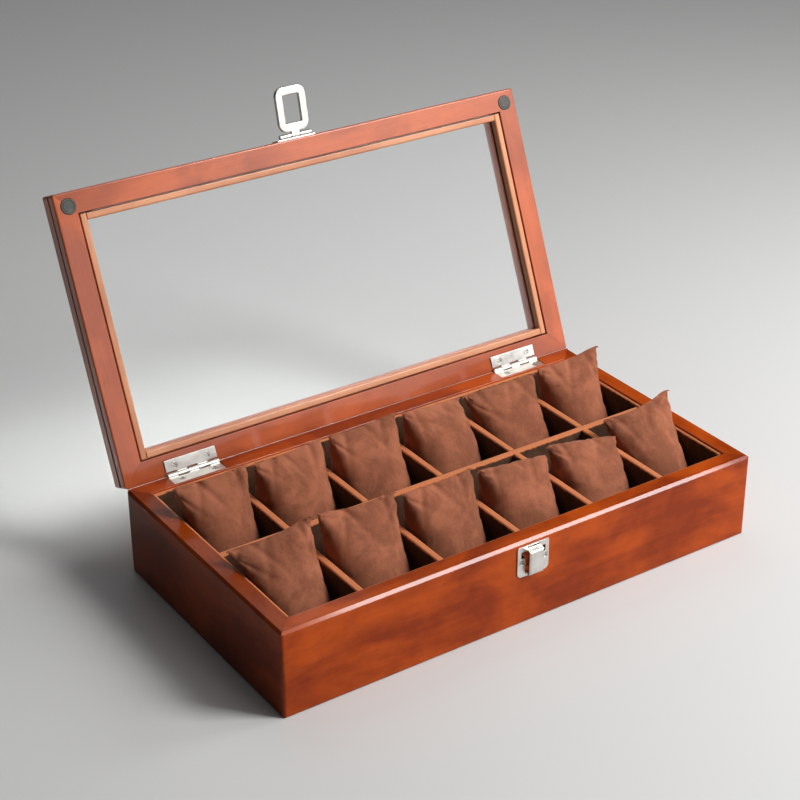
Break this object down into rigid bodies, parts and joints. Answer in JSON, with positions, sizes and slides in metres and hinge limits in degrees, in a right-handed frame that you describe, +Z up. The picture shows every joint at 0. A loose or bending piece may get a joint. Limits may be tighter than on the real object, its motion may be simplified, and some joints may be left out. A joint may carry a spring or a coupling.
{
  "type": "watch box",
  "caption": "Stained wooden watch box: a tray of cushioned pockets under a hinged, glazed lid with a loop-and-tongue clasp.",
  "frame": {"origin": "centre of the tray's underside, on the surface that the box stands on", "axes": "+X to the right along the front, +Y to the back where the hinges are, +Z up"},
  "size_m": [0.33, 0.2646, 0.2494],
  "materials": {
    "stained_wood": "reddish brown stain under satin lacquer",
    "bead_wood": "lighter stain under satin lacquer",
    "base_wood": "thin dark cloth-faced board",
    "lining_cloth": "dark brown suede cloth",
    "divider_suede": "dark brown suede cloth with a tan top edge",
    "cushion_suede": "soft brown suede cloth",
    "nickel": "bright nickel plate",
    "clear_glass": "clear, polished",
    "bumper_rubber": "matte"
  },
  "bodies": {
    "tray": {"front_wall": "stained_wood", "back_wall": "stained_wood", "left_wall": "stained_wood", "right_wall": "stained_wood", "base_board": "base_wood", "floor_lining": "lining_cloth", "front_liner": "lining_cloth", "back_liner": "lining_cloth", "left_liner": "lining_cloth", "right_liner": "lining_cloth", "long_divider": "divider_suede", "short_divider_1": "divider_suede", "short_divider_2": "divider_suede", "short_divider_3": "divider_suede", "short_divider_4": "divider_suede", "short_divider_5": "divider_suede", "hinge_left_tray_leaf": "nickel", "hinge_right_tray_leaf": "nickel", "hinge_left_pin": "nickel", "hinge_right_pin": "nickel", "hinge_tray_screws": "nickel", "catch_plate": "nickel", "catch_screws": "nickel"},
    "lid": {"lid_front_rail": "stained_wood", "lid_back_rail": "stained_wood", "lid_left_stile": "stained_wood", "lid_right_stile": "stained_wood", "glass_pane": "clear_glass", "bead_front": "bead_wood", "bead_back": "bead_wood", "bead_left": "bead_wood", "bead_right": "bead_wood", "bumper_left": "bumper_rubber", "bumper_right": "bumper_rubber", "hinge_left_lid_leaf": "nickel", "hinge_right_lid_leaf": "nickel", "hinge_lid_screws": "nickel", "clasp_base_plate": "nickel", "clasp_pin": "nickel", "clasp_screws": "nickel"},
    "loop": {"clasp_loop": "nickel"},
    "cushion_1": {"cushion_1": "cushion_suede"},
    "cushion_2": {"cushion_2": "cushion_suede"},
    "cushion_3": {"cushion_3": "cushion_suede"},
    "cushion_4": {"cushion_4": "cushion_suede"},
    "cushion_5": {"cushion_5": "cushion_suede"},
    "cushion_6": {"cushion_6": "cushion_suede"},
    "cushion_7": {"cushion_7": "cushion_suede"},
    "cushion_8": {"cushion_8": "cushion_suede"},
    "cushion_9": {"cushion_9": "cushion_suede"},
    "cushion_10": {"cushion_10": "cushion_suede"},
    "cushion_11": {"cushion_11": "cushion_suede"},
    "cushion_12": {"cushion_12": "cushion_suede"}
  },
  "joints": [
    {"name": "lid_hinge", "type": "hinge", "parent": "tray", "child": "lid", "pos_m": [0, 0.0885, 0.05495], "axis": [-1, 0, 0], "range_deg": [-112.5, 0]},
    {"name": "loop_hinge", "type": "hinge", "parent": "lid", "child": "loop", "pos_m": [0, 0.15956, 0.21959], "axis": [-1, 0, 0], "range_deg": [-80, 0]},
    {"name": "cushion_1_lift", "type": "slide", "parent": "tray", "child": "cushion_1", "axis": [0, 0, 1], "range_m": [0, 0.09]},
    {"name": "cushion_2_lift", "type": "slide", "parent": "tray", "child": "cushion_2", "axis": [0, 0, 1], "range_m": [0, 0.09]},
    {"name": "cushion_3_lift", "type": "slide", "parent": "tray", "child": "cushion_3", "axis": [0, 0, 1], "range_m": [0, 0.09]},
    {"name": "cushion_4_lift", "type": "slide", "parent": "tray", "child": "cushion_4", "axis": [0, 0, 1], "range_m": [0, 0.09]},
    {"name": "cushion_5_lift", "type": "slide", "parent": "tray", "child": "cushion_5", "axis": [0, 0, 1], "range_m": [0, 0.09]},
    {"name": "cushion_6_lift", "type": "slide", "parent": "tray", "child": "cushion_6", "axis": [0, 0, 1], "range_m": [0, 0.09]},
    {"name": "cushion_7_lift", "type": "slide", "parent": "tray", "child": "cushion_7", "axis": [0, 0, 1], "range_m": [0, 0.09]},
    {"name": "cushion_8_lift", "type": "slide", "parent": "tray", "child": "cushion_8", "axis": [0, 0, 1], "range_m": [0, 0.09]},
    {"name": "cushion_9_lift", "type": "slide", "parent": "tray", "child": "cushion_9", "axis": [0, 0, 1], "range_m": [0, 0.09]},
    {"name": "cushion_10_lift", "type": "slide", "parent": "tray", "child": "cushion_10", "axis": [0, 0, 1], "range_m": [0, 0.09]},
    {"name": "cushion_11_lift", "type": "slide", "parent": "tray", "child": "cushion_11", "axis": [0, 0, 1], "range_m": [0, 0.09]},
    {"name": "cushion_12_lift", "type": "slide", "parent": "tray", "child": "cushion_12", "axis": [0, 0, 1], "range_m": [0, 0.09]}
  ]
}
